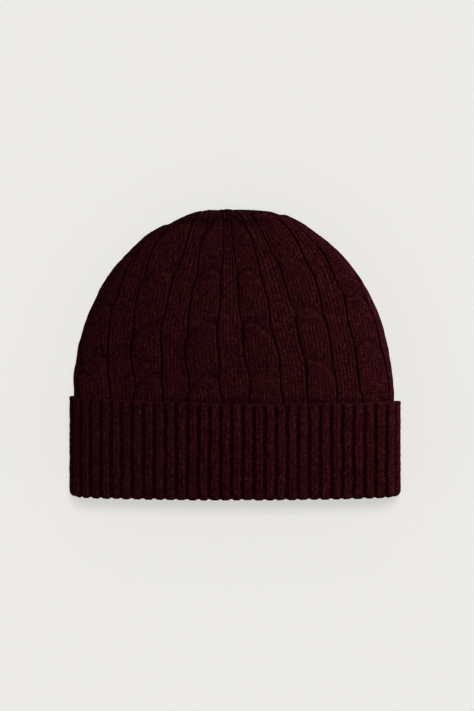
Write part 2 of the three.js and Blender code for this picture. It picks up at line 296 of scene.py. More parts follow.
@dataclass(frozen=True)
class Envelope:
    """The surface that the crown's highest stitches touch: a round dome laid flat on its back."""

    hat: Hat
    base: float = 72.0
    roundness: float = 2.1
    loft: float = 6.0
    loft_length: float = 52.0
    lift_length: float = 26.0
    pole_tilt: float = 25.0
    pole_tilt_power: float = 5.5
    pole_roll: float = 8.3
    lean: float = 3.2
    lean_climb: float = 0.26
    front_spread: float = 0.061
    top_bunching: float = 0.161
    top_bunches: float = 4.0
    settle: float = 1.3
    left_ease: float = 2.7
    rim_ease: float = 0.6
    tucked_at: float = -6.0
    free_at: float = 3.0
    full_at: float = 15.0
    top_ease: float = 0.6
    side_ease: float = 0.7
    shoulder_ease: float = 1.3
    shoulder_at: float = 27.0
    shoulder_width: float = 11.0
    ease_power: float = 6.0
    dip_below: float = 10.0
    dip_width: float = 3.6
    dip_depth: float = 2.6
    dip_centre: float = -9.0
    dip_half_span: float = 34.0
    dip_power: int = 4

    @property
    def half_width(self) -> float:
        """Half the crown's width, a layer of the cuff less than the hat's."""
        return self.hat.half_width - self.hat.layer_step

    @property
    def radius(self) -> float:
        """Radius of the rolled edge on which the front turns into the back."""
        return self.hat.thickness / 2.0 - self.hat.layer_step

    @property
    def height(self) -> float:
        """From where the crown starts to curve in to its top."""
        return self.hat.length - self.base

    def outline_reach(self, across: Array, up: Array) -> Array:
        """Distance from the middle of the base to the outline, in the direction (across, up)."""
        n = self.roundness
        return ((np.abs(across) / self.half_width) ** n + (np.abs(up) / self.height) ** n) ** (-1 / n)

    def dome_place(self, turn: Array, climb: Array) -> tuple[Array, Array, Array]:
        """The place of a stitch on a round dome whose top is tilted to the back.

        Args:
            turn: Degrees from the middle of the front to the right.
            climb: Share of the way from the base to the gather.

        Returns:
            How far across, up and ahead of the dome's middle the stitch lies, as shares of its radius.
        """
        wale = np.radians(turn - self.lean * smooth_step(0.0, self.lean_climb, climb))
        middleness = np.maximum(0.0, np.cos(wale)) ** 2
        spread = self.front_spread * np.sin(2.0 * wale) * middleness
        bunched = self.top_bunching * np.sin(self.top_bunches * wale) * smooth_step(0.0, 1.0, climb)
        around = wale + spread - bunched
        latitude = climb * math.pi / 2.0
        tilt = np.radians(self.pole_tilt) * climb**self.pole_tilt_power
        roll = np.radians(self.pole_roll) * climb**2
        across = np.cos(latitude) * np.sin(around)
        facing = np.cos(latitude) * np.cos(around)
        up = np.sin(latitude) * np.cos(tilt) + facing * np.sin(tilt)
        return (
            across * np.cos(roll) - up * np.sin(roll),
            up * np.cos(roll) + across * np.sin(roll),
            facing * np.cos(tilt) - np.sin(latitude) * np.sin(tilt),
        )

    def lift(self, height: Array) -> Array:
        """How far above the floor the back lies, held up by the cuff's layers next to it."""
        return self.hat.layer_step * (1.0 - smooth_step(self.base, self.base + self.lift_length, height))

    def relief(self, x: Array, height: Array, reach_share: Array) -> Array:
        """The front's rise over the hollow, less the dip where the fabric turns over the top."""
        grown = smooth_step(self.base, self.base + self.loft_length, height)
        return self.loft * (1.0 - reach_share**2) * grown - self.dip_depth * self.dip(x, height)

    def dip(self, x: Array, height: Array) -> Array:
        """How far into the dip below the top a place is, from 0 to 1."""
        across = np.exp(-(((x - self.dip_centre) / self.dip_half_span) ** self.dip_power))
        return across * bell(height - (self.hat.length - self.dip_below), self.dip_width)

    def left_fullness(self, height: Array) -> Array:
        """How far the left side's outline lies out past the dome's, in millimetres.

        Args:
            height: Height above the fold.

        Returns:
            Nothing inside the cuff, a part at its rim and the full ease above it.
        """
        above = height - self.base
        freed = mix(self.rim_ease, 1.0, smooth_step(self.free_at, self.full_at, above))
        return self.left_ease * freed * smooth_step(self.tucked_at, self.free_at, above)

    def top_fullness(self, x: Array) -> Array:
        """How far the top's outline lies out past the dome's, in millimetres, most at its shoulders."""
        shoulders = self.shoulder_ease * bell(np.abs(x) - self.shoulder_at, self.shoulder_width)
        return self.top_ease + self.side_ease * (1.0 - bell(x, self.shoulder_at)) + shoulders

    def place(self, turn: Array, climb: Array) -> Array:
        """A point of the envelope.

        Args:
            turn: Degrees from the middle of the front to the right.
            climb: Share of the way from the base to the gather.

        Returns:
            Points (x, height, z) in millimetres.
        """
        across, up, ahead = self.dome_place(turn, climb)
        azimuth = np.arctan2(across, ahead)
        is_front = np.abs(azimuth) <= math.pi / 2.0
        folded = np.where(is_front, azimuth, np.sign(azimuth) * (math.pi - np.abs(azimuth)))
        sheet_x = np.sqrt(np.maximum(0.0, 1.0 - up * up)) * folded / (math.pi / 2.0)
        reach_share = np.hypot(sheet_x, up)
        size = np.hypot(self.half_width * sheet_x, self.height * up) + TINY
        to_side, to_top = self.half_width * sheet_x / size, self.height * up / size
        flat = self.outline_reach(to_side + TINY, to_top) - self.radius
        length = reach_share * (flat + self.radius * math.pi / 2.0)
        bent = np.maximum(0.0, length - flat) / self.radius
        out = np.minimum(length, flat) + self.radius * np.sin(bent)
        rise = self.radius * np.cos(bent)
        x, height = to_side * out, self.base + to_top * out
        eased = reach_share**self.ease_power
        x = x - self.left_fullness(height) * eased * np.maximum(0.0, -to_side)
        height = height + self.top_fullness(x) * eased * np.maximum(0.0, to_top) ** 2
        z = self.radius + np.where(is_front, rise, -rise) + self.lift(height)
        z = z + np.where(is_front, self.relief(x, height, reach_share) * rise / self.radius, 0.0)
        return np.stack([x, height, z], axis=-1)

    def settled(self, points: Array) -> Array:
        """Presses the back's highest stitches flat on the floor, as the hat's weight does.

        Args:
            points: Points (x, height, z).

        Returns:
            The same points, none of them under the floor.
        """
        held = self.lift(points[..., 1]) / self.hat.layer_step
        drop = self.settle * (1.0 - held) * np.maximum(0.0, 1.0 - points[..., 2] / self.radius)
        done = points.copy()
        done[..., 2] = np.maximum(0.0, points[..., 2] - drop)
        return done


class StitchLines:
    """A table of the envelope in even steps up every line of stitches, hidden edge to gather."""

    TURNS = 1440
    STEPS = 320

    def __init__(self, envelope: Envelope) -> None:
        """Walks each line of stitches.

        Args:
            envelope: The surface that they lie on.
        """
        hat = envelope.hat
        turns = np.arange(self.TURNS) * FULL_TURN / self.TURNS
        climbs = np.linspace(0.0, 1.0, self.STEPS + 1)
        path = envelope.place(turns[:, None], climbs[None, :])
        start = path[:, :1].copy()
        start[..., 1] = hat.band_top + hat.seat_gap
        path = np.concatenate([start, path], axis=1)
        steps = np.linalg.norm(np.diff(path, axis=1), axis=-1)
        lengths = np.concatenate([np.zeros((self.TURNS, 1)), np.cumsum(steps, axis=1)], axis=1)
        self.total = lengths[:, -1]
        self.points = np.empty((self.TURNS, self.STEPS + 1, 3))
        for i in range(self.TURNS):
            for axis in range(3):
                self.points[i, :, axis] = np.interp(climbs * self.total[i], lengths[i], path[i, :, axis])
        wrapped = np.concatenate([self.points[-1:], self.points, self.points[:1]])
        around = (wrapped[2:] - wrapped[:-2]) / 2.0
        along = np.gradient(self.points, axis=1)
        self.stretch = np.linalg.norm(around, axis=-1) * self.TURNS / FULL_TURN
        across = np.cross(around, along)
        across[:, 0, 1] = 0.0
        across[:, -1] = (0.0, 0.0, -1.0)
        self.normals = across / (np.linalg.norm(across, axis=-1, keepdims=True) + TINY)

    def read(self, table: Array, turn: Array, share: Array) -> Array:
        """Reads one of the tables between its entries.

        Args:
            table: points, normals, stretch or total.
            turn: Degrees round the hat.
            share: Share of the way up each line of stitches.

        Returns:
            The table's values there.
        """
        x = (np.asarray(turn) / FULL_TURN * self.TURNS) % self.TURNS
        left = np.floor(x).astype(int) % self.TURNS
        right = (left + 1) % self.TURNS
        across = x - np.floor(x)
        if table.ndim == 1:
            return mix(table[left], table[right], across)
        y = np.clip(share, 0.0, 1.0) * self.STEPS
        low = np.minimum(np.floor(y).astype(int), self.STEPS - 1)
        up = y - low
        if table.ndim == 3:
            across, up = across[..., None], up[..., None]
        below = mix(table[left, low], table[right, low], across)
        above = mix(table[left, low + 1], table[right, low + 1], across)
        return mix(below, above, up)

    def under(self, depth: Array, turn: Array, share: Array) -> Array:
        """Points that lie a depth under the envelope, at a turn and a share of the way up."""
        normals = self.read(self.normals, turn, share)
        return self.read(self.points, turn, share) - normals * depth[..., None]


class Zone(Enum):
    """What a column of the crown's grid is part of, from left to right across one repeat."""

    PANEL_RIGHT_HALF = 0
    VALLEY_BEFORE = 1
    CABLE = 2
    VALLEY_AFTER = 3
    PANEL_LEFT_HALF = 4


@dataclass(frozen=True)
class ZoneGrid:
    """One zone of a repeat: its columns in front and at the back, and its ends in its own measure."""

    zone: Zone
    fine: int
    coarse: int
    start: float = -1.0
    end: float = 1.0


ZONES = (
    ZoneGrid(Zone.PANEL_RIGHT_HALF, 10, 4, start=0.0),
    ZoneGrid(Zone.VALLEY_BEFORE, 6, 3),
    ZoneGrid(Zone.CABLE, 23, 9),
    ZoneGrid(Zone.VALLEY_AFTER, 6, 3),
    ZoneGrid(Zone.PANEL_LEFT_HALF, 10, 4, end=0.0),
)


@dataclass(frozen=True)
class Cable:
    """One cable: the height of one of its crossings above the fold, and the hand of its twist."""

    crossing: float
    hand: int


# From the left edge over the front to the right edge, and on round the back.
CABLES = (
    Cable(98.0, -1),
    Cable(84.0, -1),
    Cable(84.5, -1),
    Cable(84.5, 1),
    Cable(96.5, 1),
    Cable(109.5, 1),
    Cable(106.0, 1),
    Cable(95.0, 1),
    Cable(91.0, 1),
    Cable(91.0, -1),
    Cable(95.0, -1),
    Cable(103.0, -1),
)


@dataclass(frozen=True)
class CableStrands:
    """How a cable's strands lie: each comes out rounded over the end of the one above it."""

    pitch: float = 38.5
    body: float = 2.1
    edge_power: float = 5.0
    arc_height: float = 7.5
    arc_crown: float = 0.6
    arc_reach: float = 1.12
    arc_power: float = 2.2
    arc_lean: float = 0.3
    lean_spread: float = 0.5
    cable_stride: float = 12.9
    crossing_stride: float = 4.1
    roll: float = 4.5
    floor: float = 0.3
    floor_spread: float = 0.1
    notch: float = 0.45
    notch_width: float = 0.5
    tuck_length: float = 6.0
    puff: float = 0.5
    puff_length: float = 7.0
    twist: float = 0.7
    twist_half: float = 10.0
    pinch: float = 0.12
    wales: int = 8

    def number(self, height: Array, crossing: Array) -> Array:
        """Which crossing is nearest, counted up from the one whose height is given."""
        return np.round((height - crossing) / self.pitch)

    def from_crossing(self, height: Array, crossing: Array) -> Array:
        """How far above the nearest crossing a height is, in millimetres."""
        return ((height - crossing) / self.pitch - self.number(height, crossing)) * self.pitch

    def narrowing(self, height: Array, crossing: Array) -> Array:
        """How much narrower the cable is drawn at its crossings, as a share of its width."""
        return self.pinch * bell(self.from_crossing(height, crossing), self.twist_half)

    def lay(self, across: Array, height: Array, crossing: Array, hand: Array) -> tuple[Array, Array]:
        """Works out the strands' height above the valleys.

        Args:
            across: From -1 at the cable's left edge to 1 at its right.
            height: Height above the fold along the stitches, in millimetres.
            crossing: Height of one crossing.
            hand: Hand of the twist, 1 or -1.

        Returns:
            The height above the valley floor in millimetres, and the wale that each point is on.
        """
        above = self.from_crossing(height, crossing)
        own = np.sin(self.cable_stride * crossing + self.crossing_stride * self.number(height, crossing))
        lean = hand * self.arc_lean * (1.0 + self.lean_spread * own)
        leaning = np.abs((across + lean) / self.arc_reach) ** self.arc_power
        below_arc = self.arc_height * (self.arc_crown - leaning) - above
        start = 1.0 - np.clip(below_arc / self.roll, 0.0, 1.0)
        rolled = np.sqrt(np.maximum(0.0, 1.0 - start * start))
        puffed = 1.0 + self.puff * bell(below_arc - self.roll, self.puff_length)
        floor = self.floor + self.floor_spread * own - self.notch * bell(across + hand, self.notch_width)
        tucked = 1.0 - (1.0 - floor) * np.exp(np.minimum(0.0, below_arc) / self.tuck_length)
        edge = np.sqrt(np.maximum(0.0, 1.0 - np.abs(across) ** self.edge_power))
        rise = self.body * np.where(below_arc > 0.0, mix(floor, puffed, rolled), tucked) * edge
        swing = np.sin(math.pi / 2.0 * np.clip(above / self.twist_half, -1.0, 1.0))
        slant = self.twist * hand * (np.sign(above) - swing)
        wale = (across + 1.0) * self.wales / 2.0 + slant * self.wales / 2.0
        return np.maximum(0.0, rise), wale


@dataclass(frozen=True)
class Places:
    """Where the points of the crown's grid lie in the pattern, with a row for each ring.

    The edges of the panels, and the points themselves, are given as shares of the repeat's width.
    """

    share: Array
    repeat: Array
    at: Array
    left_edge: Array
    right_edge: Array
    width: Array
    crossing: Array
    hand: Array

    @property
    def on_left(self) -> Array:
        """Whether a point lies in the left half of its repeat."""
        return self.at < 0.5

    @property
    def from_panel(self) -> Array:
        """How far to the right of the middle of the nearest panel a point lies."""
        return np.where(self.on_left, self.at, self.at - 1.0)

    @property
    def panel_half(self) -> Array:
        """Half the width of the nearest panel."""
        return np.where(self.on_left, self.left_edge, self.right_edge)

    @property
    def to_valley(self) -> Array:
        """How far from the nearest valley a point lies, in millimetres."""
        to_right = np.abs(1.0 - self.right_edge - self.at)
        return np.minimum(np.abs(self.at - self.left_edge), to_right) * self.width

    @property
    def from_cable(self) -> Array:
        """How far to the right of the cable's middle a point lies."""
        return self.at - (self.left_edge + 1.0 - self.right_edge) / 2.0

    def cable_half(self, inset: float) -> Array:
        """Half the width of the cable, which starts an inset in millimetres from its valleys."""
        return (1.0 - self.right_edge - self.left_edge) / 2.0 - inset / self.width


@dataclass(frozen=True)
class Crown:
    """The cable-knit crown: plain panels and cables between purl valleys, gathered at the top."""

    hat: Hat
    envelope: Envelope
    strands: CableStrands = CableStrands()
    back_from: int = 3
    back_to: int = 9
    rows: int = 190
    rows_from: float = 0.034
    rows_to: float = 0.985
    hidden_share: float = 0.02
    panel_share_low: float = 0.42
    panel_share_high: float = 0.29
    narrow_from: float = 0.3
    narrow_to: float = 0.9
    panel_depth: float = 1.0
    panel_roll: float = 0.35
    panel_roll_power: int = 6
    valley_depth: float = 2.45
    valley_width: float = 2.0
    valley_share: float = 0.1
    cable_inset: float = 0.3
    groove: float = 0.56
    lip: float = 0.45
    lip_at: float = 1.7
    lip_width: float = 0.7
    full_repeat: float = 40.0
    least_narrow: float = 0.35
    proud: float = 1.1
    wale_pitch: float = 2.65
    wale_relief: float = 0.4
    panel_wale: float = 3.0
    cable_wale: float = 6.0
    gather_from: float = 2.0
    gather_to: float = 10.0
    gather_relief: float = 0.3
    # Painted shade: a band of contact shadow just above the cuff's rim, the dip below the top and the
    # gather's tip are darkened in the finish.
    rim_shade: float = 0.7
    rim_shade_height: float = 71.5
    rim_shade_width: float = 2.2
    dip_shade: float = 0.5
    tip_shade: float = 0.8
    lining_rows: int = 18
    lining_to: float = 0.97
    lining_relief: float = 0.25
    lining_shade: float = 0.35
    wander: float = 0.35
    wandering: Unevenness = Unevenness(11, 24, 22)
    lumpiness: float = 0.22
    lumps: tuple[Unevenness, ...] = (Unevenness(5, 96, 44), Unevenness(6, 48, 20))

    @property
    def repeats(self) -> int:
        """How often the pattern repeats round the crown, once for each cable."""
        return len(CABLES)

    def columns(self) -> tuple[Array, Array, Array]:
        """The columns of the grid: the front is knitted finer than the back, which lies on the floor.

        Returns:
            The repeat, the number of the zone and the place in the zone of every column.
        """
        repeat, zone, place = [], [], []
        for r in range(self.repeats):
            for grid in ZONES:
                count = grid.coarse if self.back_from <= r < self.back_to else grid.fine
                repeat.append(np.full(count, r))
                zone.append(np.full(count, grid.zone.value))
                place.append(grid.start + (grid.end - grid.start) * np.arange(count) / count)
        return np.concatenate(repeat), np.concatenate(zone), np.concatenate(place)

    def panel_half(self, share: Array) -> Array:
        """Half a plain panel as a share of the repeat: it narrows by decreases towards the top."""
        narrowed = smooth_step(self.narrow_from, self.narrow_to, share)
        return mix(self.panel_share_low, self.panel_share_high, narrowed) / 2.0

    def courses(self, lines: StitchLines) -> float:
        """How many courses the crown has from its hidden edge to the gather."""
        return float(np.round(lines.total.mean() / self.hat.course))

    def chart(self, lines: StitchLines, shares: Array) -> Places:
        """Lays the pattern's columns out on every ring.

        Args:
            lines: The lines of stitches.
            shares: How far up them each ring of the grid lies.

        Returns:
            The places of the grid's points in the pattern.
        """
        repeat, zone, place = self.columns()
        share = shares[:, None] + np.zeros(len(repeat))
        start_turn, centre_turn = ((repeat + part) * FULL_TURN / self.repeats for part in (0.0, 0.5))
        width = lines.read(lines.stretch, centre_turn, share) * FULL_TURN / self.repeats
        width = np.maximum(width, TINY)
        # Repeats start in the middle of the front, and cables a quarter of the way round before it.
        cable = (repeat + self.repeats // 4) % self.repeats
        crossing = np.array([c.crossing for c in CABLES])[cable]
        hand = np.array([c.hand for c in CABLES])[cable]
        height = self.hat.band_top + lines.read(lines.total, centre_turn, share) * share
        edge = self.panel_half(share)
        edge = edge + self.strands.narrowing(height, crossing) * (0.5 - edge)
        left = edge + self.wandering.at(start_turn, share) * self.wander / width
        right = edge + self.wandering.at(centre_turn, share) * self.wander / width
        valley = np.minimum(self.valley_width / width, self.valley_share) / 2.0
        spans = {
            Zone.PANEL_RIGHT_HALF: place * (left - valley),
            Zone.VALLEY_BEFORE: left + place * valley,
            Zone.CABLE: mix(left + valley, 1.0 - right - valley, (place + 1.0) / 2.0),
            Zone.VALLEY_AFTER: 1.0 - right + place * valley,
            Zone.PANEL_LEFT_HALF: 1.0 + place * (right - valley),
        }
        at = np.choose(zone, [spans[kind] for kind in Zone])
        return Places(share, repeat, at, left, right, width, crossing, hand)

    def relief(self, places: Places, height: Array) -> tuple[Array, Array, Array]:
        """Works out the relief of the panels, valleys and cables.

        Args:
            places: Where the points lie in the pattern.
            height: Their height above the fold along the stitches, in millimetres.

        Returns:
            How far each point lies under the envelope, its wale, counted from the middle of its panel
            or from its cable's left edge, and whether it is on a cable.
        """
        rolled = np.clip(np.abs(places.from_panel) / places.panel_half, 0.0, 1.0)
        panel_depth = self.panel_depth + self.panel_roll * rolled**self.panel_roll_power
        cable_half = places.cable_half(self.cable_inset)
        is_cable = np.abs(places.from_cable) < cable_half
        across = places.from_cable / cable_half
        rise, strand_wale = self.strands.lay(across, height, places.crossing, places.hand)
        wale = np.where(is_cable, strand_wale, places.from_panel * places.width / self.wale_pitch)
        narrow = np.clip(places.width / self.full_repeat, self.least_narrow, 1.0)
        groove = bell(places.to_valley, self.groove * narrow)
        ridge = np.cos(math.pi * wale) ** 2 * (1.0 - groove)
        lip = bell(places.to_valley - self.lip_at * narrow, self.lip_width * narrow)
        depth = mix(np.where(is_cable, self.valley_depth - rise, panel_depth), self.valley_depth, groove)
        depth = depth + self.wale_relief * ridge - self.lip * lip
        calm = smooth_step(self.gather_from, self.gather_to, places.width)
        return mix(self.panel_depth, depth, mix(self.gather_relief, 1.0, calm)), wale, is_cable

    def knit(self, lines: StitchLines, shares: Array) -> tuple[Array, Array, Array]:
        """Knits the outer face.

        Args:
            lines: The lines of stitches.
            shares: How far up them each ring of the grid lies.

        Returns:
            The points, how deep each lies as a share of the valleys' depth with the painted shade of the
            band above the rim and of the dip added, and the stitch coordinates.
        """
        places = self.chart(lines, shares)
        share = places.share
        turn = (places.repeat + places.at) * FULL_TURN / self.repeats
        height = self.hat.band_top + lines.read(lines.total, turn, share) * share
        depth, wale, is_cable = self.relief(places, height)
        for lumps in self.lumps:
            depth = depth + self.lumpiness * lumps.at(turn, share)
        depth = np.maximum(depth, -self.proud) * smooth_step(0.0, self.hidden_share, share)
        points = lines.under(depth, turn, share)
        x, up = points[..., 0], points[..., 1]
        # Painted shade: the depth share darkens the valleys, and a contact-shadow band above the rim and
        # the dip below the top are added to it.
        depth_and_shade = depth / self.valley_depth
        depth_and_shade = depth_and_shade + self.rim_shade * bell(up - self.rim_shade_height, self.rim_shade_width)
        depth_and_shade = depth_and_shade + self.dip_shade * self.envelope.dip(x, up)
        repeat_wales = self.hat.wales / self.repeats
        panel_wale = self.panel_wale + np.where(places.on_left, 0.0, repeat_wales)
        first_wale = repeat_wales * places.repeat + np.where(is_cable, self.cable_wale, panel_wale)
        stitches = stitch_map(first_wale + wale, self.courses(lines) * share, self.hat.wales)
        return self.envelope.settled(points), np.clip(depth_and_shade, 0.0, 1.0), stitches

    def line_with(self, lines: StitchLines, shares: Array) -> tuple[Array, Array, Array]:
        """Makes the smooth inner face.

        Args:
            lines: The lines of stitches.
            shares: How far up them each ring of the grid lies.

        Returns:
            As knit does, with the same columns.
        """
        repeat, _, _ = self.columns()
        share = shares[:, None] + np.zeros(len(repeat))
        in_repeat = np.arange(len(repeat)) - np.searchsorted(repeat, repeat)
        turn = (repeat + in_repeat / np.bincount(repeat)[repeat]) * FULL_TURN / self.repeats
        wale = turn / FULL_TURN * self.hat.wales
        depth = self.hat.cable_wall - self.lining_relief * np.cos(math.pi * wale) ** 2
        stitches = stitch_map(wale, self.courses(lines) * share, self.hat.wales)
        points = self.envelope.settled(lines.under(depth, turn, share))
        return points, np.full(share.shape, self.lining_shade), stitches

    def build(self, material: bpy.types.Material) -> bpy.types.Object:
        """Makes the crown.

        Args:
            material: The cable knit's finish.

        Returns:
            The crown as one closed mesh.
        """
        lines = StitchLines(self.envelope)
        skin = Skin(self.hat.base)
        hidden = [0.0, self.hidden_share / 2.0, self.hidden_share]
        shares = np.concatenate([hidden, np.linspace(self.rows_from, self.rows_to, self.rows)])
        points, depth_and_shade, outer_stitches = self.knit(lines, shares)
        outer = skin.add_points(points, depth_and_shade)
        skin.add_band(outer, outer_stitches)
        lining_shares = np.linspace(0.0, self.lining_to, self.lining_rows)
        points, depth_and_shade, inner_stitches = self.line_with(lines, lining_shares)
        inner = skin.add_points(points, depth_and_shade)
        skin.add_band(inner, inner_stitches, outward=False)
        skin.add_band(np.stack([inner[0], outer[0]]), np.stack([inner_stitches[0], outer_stitches[0]]))
        pole = self.envelope.place(np.zeros(1), np.ones(1))
        for depth, ring, stitches, outward in (
            (self.panel_depth, outer[-1], outer_stitches[-1], True),
            (self.hat.cable_wall, inner[-1], inner_stitches[-1], False),
        ):
            # Each fan's middle point carries painted shade, which darkens the gather.
            tip = self.envelope.settled(pole + np.array([[0.0, 0.0, depth]]))
            centre = skin.add_points(tip, np.full(1, self.tip_shade))
            skin.add_fan(centre[0], ring, stitches, outward)
        return skin.build("crown_knit", material)


# ---- Cuff -----------------------------------------------------------------------------------


@dataclass(frozen=True)
class EdgeLine:
    """Heights of an edge of the cuff at its left end, its middle and its right end."""

    left: float
    middle: float
    right: float
    corner: float = 0.0
    corner_power: int = 16

    def at(self, side: Array) -> Array:
        """Reads the height of the edge.

        Args:
            side: From -1 at the left end to 1 at the right end.

        Returns:
            The height there, raised by the corner's height at the very ends.
        """
        straight = (self.right - self.left) / 2.0 * side
        curved = ((self.right + self.left) / 2.0 - self.middle) * side**2
        return self.middle + straight + curved + self.corner * side**self.corner_power


@dataclass(frozen=True)
class RimStep:
    """A step round the cast-on edge, as shares of the face's length, the wall and the relief."""

    face: float
    depth: float
    relief: float


RIM_STEPS = (RimStep(0.0, 0.72, 0.0), RimStep(0.0, 0.3, 0.15), RimStep(0.006, 0.1, 0.5))


@dataclass(frozen=True)
class Cuff:
    """The ribbed band, its bottom fold and the turn-up with its cast-on edge."""

    hat: Hat
    fold: EdgeLine = EdgeLine(2.0, 0.0, 1.9, corner=1.2)
    rim: EdgeLine = EdgeLine(74.9, 69.6, 71.4)
    ribs: int = 64
    wales_a_rib: int = 3
    fine_columns: int = 12
    coarse_columns: int = 8
    face_rows: int = 62
    face_from: float = 0.02
    fold_rows: int = 14
    band_rows: int = 20
    valley_depth: float = 1.9
    valley_from: float = 2.2
    valley_to: float = 3.15
    rib_middle: float = 1.0 / 3.0
    centre_line: float = 0.04
    centre_width: float = 0.45
    rib_roundness: float = 0.12
    rib_half: float = 2.5
    fold_relief: float = 0.4
    edge_relief: float = 0.35
    edge_from: float = 0.5
    edge_band: float = 3.2
    edge_bead: float = 0.25
    bead_at: float = 1.2
    bead_width: float = 0.9
    edge_wave: float = 0.3
    wave_reach: float = 0.05
    inset: float = 0.25
    least_inset: float = 0.02
    band_inset: float = 0.15
    band_relief: float = 0.8
    rim_inset: float = 0.8
    rib_shift: float = -1.4
    bunching: float = 3.6
    bunching_width: float = 24.0
    wander: float = 0.45
    wandering: Unevenness = Unevenness(21, 64, 9)
    lumpiness: float = 0.18
    lumps: Unevenness = Unevenness(31, 128, 30)

    @property
    def bend(self) -> float:
        """Radius of the fold's outer face."""
        return self.hat.knit_wall + self.hat.slit / 2.0

    @property
    def pitch(self) -> float:
        """Width of a rib with its valley, in millimetres."""
        flat = 4.0 * (self.hat.half_width - self.hat.thickness / 2.0)
        return (flat + math.pi * self.hat.thickness) / self.ribs

    def columns(self) -> tuple[Array, Array]:
        """The columns of the grid, finer over the front.

        Returns:
            The rib of each column and its place across that rib, from 0 to 1.
        """
        rib, place = [], []
        quarter = self.ribs // 4
        for r in range(self.ribs):
            is_front = r <= quarter or r >= 3 * quarter - 1
            count = self.fine_columns if is_front else self.coarse_columns
            rib.append(np.full(count, r))
            place.append(np.arange(count) / count)
        return np.concatenate(rib), np.concatenate(place)

    def section(self) -> tuple[Array, ...]:
        """The walk over the cast-on edge, down the face and round the fold.

        Returns:
            For each point: how far from the rim (0) to the bend (1) it lies, its depth from the outer
            face in millimetres, the way that a valley sinks there in radians, and the relief's share.
        """
        bend = self.bend
        walk = [(step.face, self.hat.knit_wall * step.depth, 0.0, step.relief) for step in RIM_STEPS]
        for i in range(self.face_rows):
            down = (1.0 - self.face_from) * i / (self.face_rows - 1)
            walk.append((self.face_from + down, 0.0, 0.0, 1.0))
        for i in range(1, self.fold_rows):
            angle = math.radians(HALF_TURN * i / self.fold_rows)
            walk.append((1.0, bend - bend * math.cos(angle), angle, 1.0))
        return tuple(np.array(column)[:, None] for column in zip(*walk))

    def outline(self, turn: Array) -> tuple[Array, Array, Array, Array]:
        """The outline of the cuff's outer face, seen along the hat.

        Args:
            turn: Degrees from the middle of the front to the right.

        Returns:
            x and z on the face, and the outward normal's x and z.
        """
        radius = self.hat.thickness / 2.0
        turn = signed(turn)
        is_front = np.abs(turn) <= QUARTER_TURN
        share = np.where(is_front, np.abs(turn), HALF_TURN - np.abs(turn)) / QUARTER_TURN
        flat = self.hat.half_width - radius
        length = share * (flat + radius * math.pi / 2.0)
        bent = np.maximum(0.0, length - flat) / radius
        out = np.minimum(length, flat) + radius * np.sin(bent)
        face = np.where(is_front, 1.0, -1.0)
        hand = np.sign(turn)
        return (
            hand * out,
            radius + face * radius * np.cos(bent),
            hand * np.sin(bent),
            face * np.cos(bent),
        )

    def drawn(self, nominal: Array, face: Array) -> Array:
        """Where the ribs really run: a little unevenly, and drawn together at the left.

        Args:
            nominal: The turn of each column if the ribs were even.
            face: How far down the face each row lies, from 0 to 1.

        Returns:
            The turn of every point.
        """
        shift = self.wandering.at(nominal, face) * self.wander
        bunched = self.bunching * bell(signed(nominal + QUARTER_TURN), self.bunching_width)
        return nominal + (shift + self.rib_shift + bunched) / self.pitch * FULL_TURN / self.ribs

    def rib_depth(self, place: Array) -> Array:
        """How deep a place across a rib lies under the rib's highest stitches.

        Args:
            place: Place across the rib, whose two knit wales fill the first two thirds.

        Returns:
            The depth in millimetres.
        """
        from_middle = ((place - self.rib_middle + 0.5) % 1.0 - 0.5) * self.pitch
        away = np.abs(from_middle)
        valley = smooth_step(self.valley_from, self.valley_to, away) * self.valley_depth
        line = self.centre_line * bell(from_middle, self.centre_width)
        return valley + line + self.rib_roundness * np.minimum(1.0, away / self.rib_half) ** 2

    def turn_up(self, rib: Array, place: Array) -> tuple[Array, Array, Array]:
        """Knits the turn-up's outer face, with its cast-on edge, and the fold under it.

        Args:
            rib: Rib of each column.
            place: Place of each column across its rib.

        Returns:
            Points, depths from 0 to 1, which the finish paints as shade in the rib valleys and on their
            flanks, and stitch coordinates, going down the face and round the fold.
        """
        face, depth, angle, relief = self.section()
        nominal = (rib + place) * FULL_TURN / self.ribs
        x, z, normal_x, normal_z = self.outline(self.drawn(nominal, face))
        side = x / self.hat.half_width
        wave = self.edge_wave * (np.cos(place * self.wales_a_rib * 2.0 * math.pi) - 1.0) / 2.0
        rim = self.rim.at(side) + wave * (1.0 - smooth_step(0.0, self.wave_reach, face))
        height = mix(rim, self.fold.at(side) + self.bend, face) - self.bend * np.sin(angle)
        from_rim = rim - height
        depth_and_shade = self.rib_depth(place)
        at_edge = np.minimum(depth_and_shade, self.edge_relief * self.valley_depth)
        depth_and_shade = mix(at_edge, depth_and_shade, smooth_step(self.edge_from, self.edge_band, from_rim))
        depth_and_shade = depth_and_shade * mix(1.0, self.fold_relief, np.sin(angle))
        uneven = self.lumps.at(nominal, face) * self.lumpiness
        bead = self.edge_bead * bell(from_rim - self.bead_at, self.bead_width)
        lowered = np.maximum(depth_and_shade + uneven - bead + self.inset, self.least_inset) * relief
        inward = depth + lowered * np.cos(angle)
        up = height + lowered * np.sin(angle)
        points = np.stack([x - normal_x * inward, up, np.maximum(0.0, z - normal_z * inward)], axis=-1)
        course = (face * (self.rim.middle - self.bend) + angle * self.bend) / self.hat.course
        stitches = stitch_map((rib + place) * self.wales_a_rib, course, self.ribs * self.wales_a_rib)
        # The depth share carries painted shade into the valleys.
        return points, np.clip(depth_and_shade / self.valley_depth, 0.0, 1.0), stitches

